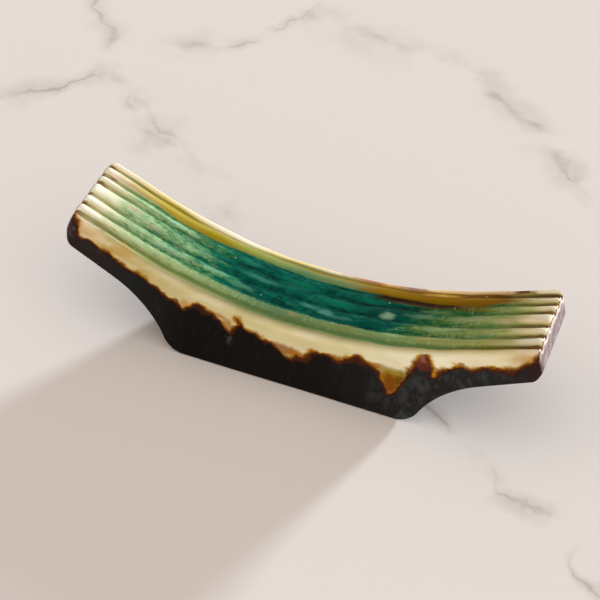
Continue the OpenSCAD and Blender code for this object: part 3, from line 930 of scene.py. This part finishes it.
def iron_brown_glaze():
    """Half-matt iron glaze: near black, brown where thin, greyer where crystals bloomed and where a
    sheen is painted, with a painted sheen and highlight on its ends
    """
    finish, bed = coat_ground("iron_brown_glaze")
    # Over the right half the iron is painted greyer and mottled: partly crystal bloom, partly a
    # painted reflection of the sunlit table
    colour = along_the_rest(bed, bed["streak_along"], iron_shades)
    bloom = soft_step(bed, run_noise(bed, (1.6, 2, 2.6), 4), 0.5, 0.72)
    bloom_and_painted_sheen = both(bed, bloom, band(bed, bed["along"], 14, 36, 4))
    colour = laid_over(bed, colour, "#424443", bloom_and_painted_sheen, 0.55)
    fine = soft_step(bed, run_noise(bed, (0.5, 2, 1.1), 4), 0.52, 0.7)
    colour = laid_over(bed, colour, "#3a3c3b", both(bed, fine, band(bed, bed["along"], 14, 34, 4)),
                       0.5)
    drawn = soft_step(bed, run_noise(bed, (0.45, 3, 3.2), 3), 0.55, 0.75)
    colour = laid_over(bed, colour, "#2b2521", drawn, 0.35)
    blotched = soft_step(bed, run_noise(bed, (1.1, 2, 1.6), 3), 0.35, 0.65)
    colour = marked_flank(bed, colour, iron_marks, 0.7, blotched)
    # Painted sheen: the grey-mauve that the end faces catch from the light is painted into their
    # colour
    cloudy = soft_step(bed, run_noise(bed, (1, 1.4, 1.8), 3), 0.4, 0.65)
    mauve = laid_over(bed, "#8a7876", "#b09c98", cloudy)
    painted_end_sheen = soft_step(bed, ragged(bed, bed["tip"], 0.5, (1.8, 1.8, 1.2), 3), 0.4, 0.9)
    colour = laid_over(bed, colour, mauve, painted_end_sheen, 0.85)
    off_tip = soft_step(bed, bed["tip"], 1, 0.4)
    # Painted highlight: a near-white band along the top edge of each end face
    lip = ragged(bed, bed["above_iron"], 0.5, (0.7, 0.7, 0.7))
    lip = both(bed, soft_step(bed, lip, -0.95, -0.4), bed["tip"])
    colour = laid_over(bed, colour, "#eadcd0", lip, 0.85)
    colour = with_melted_rim(bed, colour, -1, -0.5, off_tip)
    colour = marked_flank(bed, colour, burnt_marks, 0.4)
    finish_glaze(bed, colour, glassy_relief(bed, 0.9, 0.05), bloom, 0.32, 0.55, 0.06)
    return finish


iron_coat = coat_from_form("iron")
iron_coat.data.materials.append(iron_brown_glaze())
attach(iron_coat, "root")
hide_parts("iron_glaze")


# Table
# A honed slab of warm white marble, on which the rest stands. Its veins are drawn where the
# photo shows them, each as a line that wanders and breaks up.

marble_white, vein_grey = "#e4dcd5", "#b2a399"
marble_grain_mm, marble_relief_mm = 0.3, 0.01
wander_mm, wander_reach_mm = 11, (14, 14, 0)
patch_mm = 16
# A vein's dark line and its pale halo, in widths, and how strong the halo is
line_spread, halo_spread, halo_strength = 1.4, 4, 0.5
table_size = 3
# Each vein: its width, then places along and across the table that it runs through, in mm
veins = (
    (2.0, ((-82, 42), (-73, 46), (-68, 50), (-63, 59), (-59, 60), (-49, 52), (-38, 44), (-22, 27))),
    (1.8, ((-80, 97), (-67, 75), (-57, 61), (-50, 49), (-42, 45))),
    (1.6, ((-56, 74), (-50, 79), (-41, 84), (-33, 104))),
    (2.6, ((-34, 99), (-16, 95), (-6, 94), (6, 90), (13, 84), (22, 78), (29, 72), (36, 57),
           (46, 50))),
    (0.9, ((20, -3), (27, -7), (34, -10), (38, -16), (45, -18), (56, -31), (66, -40))),
)


def vein_in_marble(bed, width, path):
    """1 in the middle of one vein, falling off to both sides, and 0 away from it"""
    tree = bed["tree"]
    start, end = path[0][0], path[-1][0]
    low, high = min(y for x, y in path), max(y for x, y in path)
    share = add(tree, "MapRange", {"Value": bed["along"], "From Min": start, "From Max": end})
    curve = add(tree, "FloatCurve", {"Value": share}, stops=[
        ((x - start) / (end - start), (y - low) / (high - low)) for x, y in path])
    middle = add(tree, "MapRange", {"Value": curve, "To Min": low, "To Max": high})
    off = add(tree, "Math", {0: bed["across"], 1: middle}, operation="SUBTRACT")
    off = add(tree, "Math", {0: off}, operation="ABSOLUTE")
    line = soft_step(bed, off, line_spread * width, 0)
    halo = soft_step(bed, off, halo_spread * width, 0, halo_strength)
    vein = add(tree, "Math", {0: line, 1: halo}, operation="MAXIMUM")
    return both(bed, vein, band(bed, bed["along"], start, end, 3))


def honed_marble():
    """Warm white honed marble, with grey-brown veins that wander and a fine grain"""
    finish, tree, surface, place = new_finish("honed_marble")
    wandered = wandering(tree, place, wander_mm, wander_reach_mm, 4)
    axes = add(tree, "SeparateXYZ", {"Vector": wandered})
    bed = {"tree": tree, "place": place, "along": axes.outputs["X"], "across": axes.outputs["Y"]}
    vein = None
    for width, path in veins:
        line = vein_in_marble(bed, width, path)
        vein = line if vein is None else add(tree, "Math", {0: vein, 1: line}, operation="MAXIMUM")
    patches = add(tree, "TexNoise", {"Vector": place, "Scale": 1 / patch_mm, "Detail": 3})
    vein = both(bed, vein, soft_step(bed, patches, 0.38, 0.66))
    colour = laid_over(bed, marble_white, vein_grey, vein, 0.8)
    grain = add(tree, "TexNoise", {"Vector": place, "Scale": 1 / marble_grain_mm, "Detail": 2})
    rough = add(tree, "MapRange", {"Value": grain, "To Min": 0.85, "To Max": 0.95})
    relief = add(tree, "Bump", {"Height": grain, "Strength": 0.2,
                                "Distance": marble_relief_mm * MM})
    surface.inputs["Specular IOR Level"].default_value = 0.1
    join_finish(tree, surface, colour, rough, relief)
    return finish


table_mesh = bpy.data.meshes.new("table")
table_top = bmesh.new()
bmesh.ops.create_grid(table_top, x_segments=1, y_segments=1, size=table_size)
table_top.to_mesh(table_mesh)
table_top.free()
table = bpy.data.objects.new("table", table_mesh)
into_scene(table)
table.data.materials.append(honed_marble())


# Light
# Low, slightly cool sun from behind the rest, which throws its long shadow over the table, and
# the warm, soft light of the room, which is brightest in front of the rest and above it.

window = bpy.data.lights.new("window", "SUN")
window.energy = 5.4
window.angle = math.radians(7)
window.color = (0.88, 1.0, 1.14)
window_turn, window_rise = math.radians(22.7), math.radians(8.5)
window_object = bpy.data.objects.new("window", window)
window_object.rotation_euler = (math.pi / 2 - window_rise, 0, math.pi - window_turn)
into_scene(window_object)

room = bpy.data.worlds.new("room")
room.use_nodes = True
bpy.context.scene.world = room
tree = room.node_tree
tree.nodes.clear()
room_side = (0, -0.9, 0.44)
room_colour = (1.0, 0.93, 0.887, 1)
dim_room, bright_room = 0.38, 1.15
direction = add(tree, "TexCoord").outputs["Generated"]
facing = add(tree, "VectorMath", {0: direction, 1: room_side}, operation="DOT_PRODUCT")
bright = add(tree, "MapRange", {"Value": facing.outputs["Value"], "From Min": -0.1,
                                "From Max": 0.7, "To Min": dim_room, "To Max": bright_room},
             interpolation_type="SMOOTHSTEP")
sky = add(tree, "Background", {"Color": room_colour, "Strength": bright})
add(tree, "OutputWorld", {"Surface": sky})


# Camera
# It looks down on the front flank, a little from the right and slightly rolled. Its place, its
# turn and its focal length were fitted to the photo together with the rest's form.

camera_turn, camera_rise, camera_roll = (math.radians(a) for a in (14.915, 40.114, 6.740))
camera = bpy.data.cameras.new("camera")
camera.sensor_width = 36
camera.lens = 118.457
camera_object = bpy.data.objects.new("camera", camera)
camera_object.location = (0.060658, -0.234134, 0.215394)
tipped = Matrix.Rotation(math.pi / 2 - camera_rise, 3, "X") @ Matrix.Rotation(camera_roll, 3, "Z")
camera_object.rotation_euler = (Matrix.Rotation(camera_turn, 3, "Z") @ tipped).to_euler()
into_scene(camera_object)
bpy.context.scene.camera = camera_object

bpy.context.scene.view_settings.view_transform = "Standard"
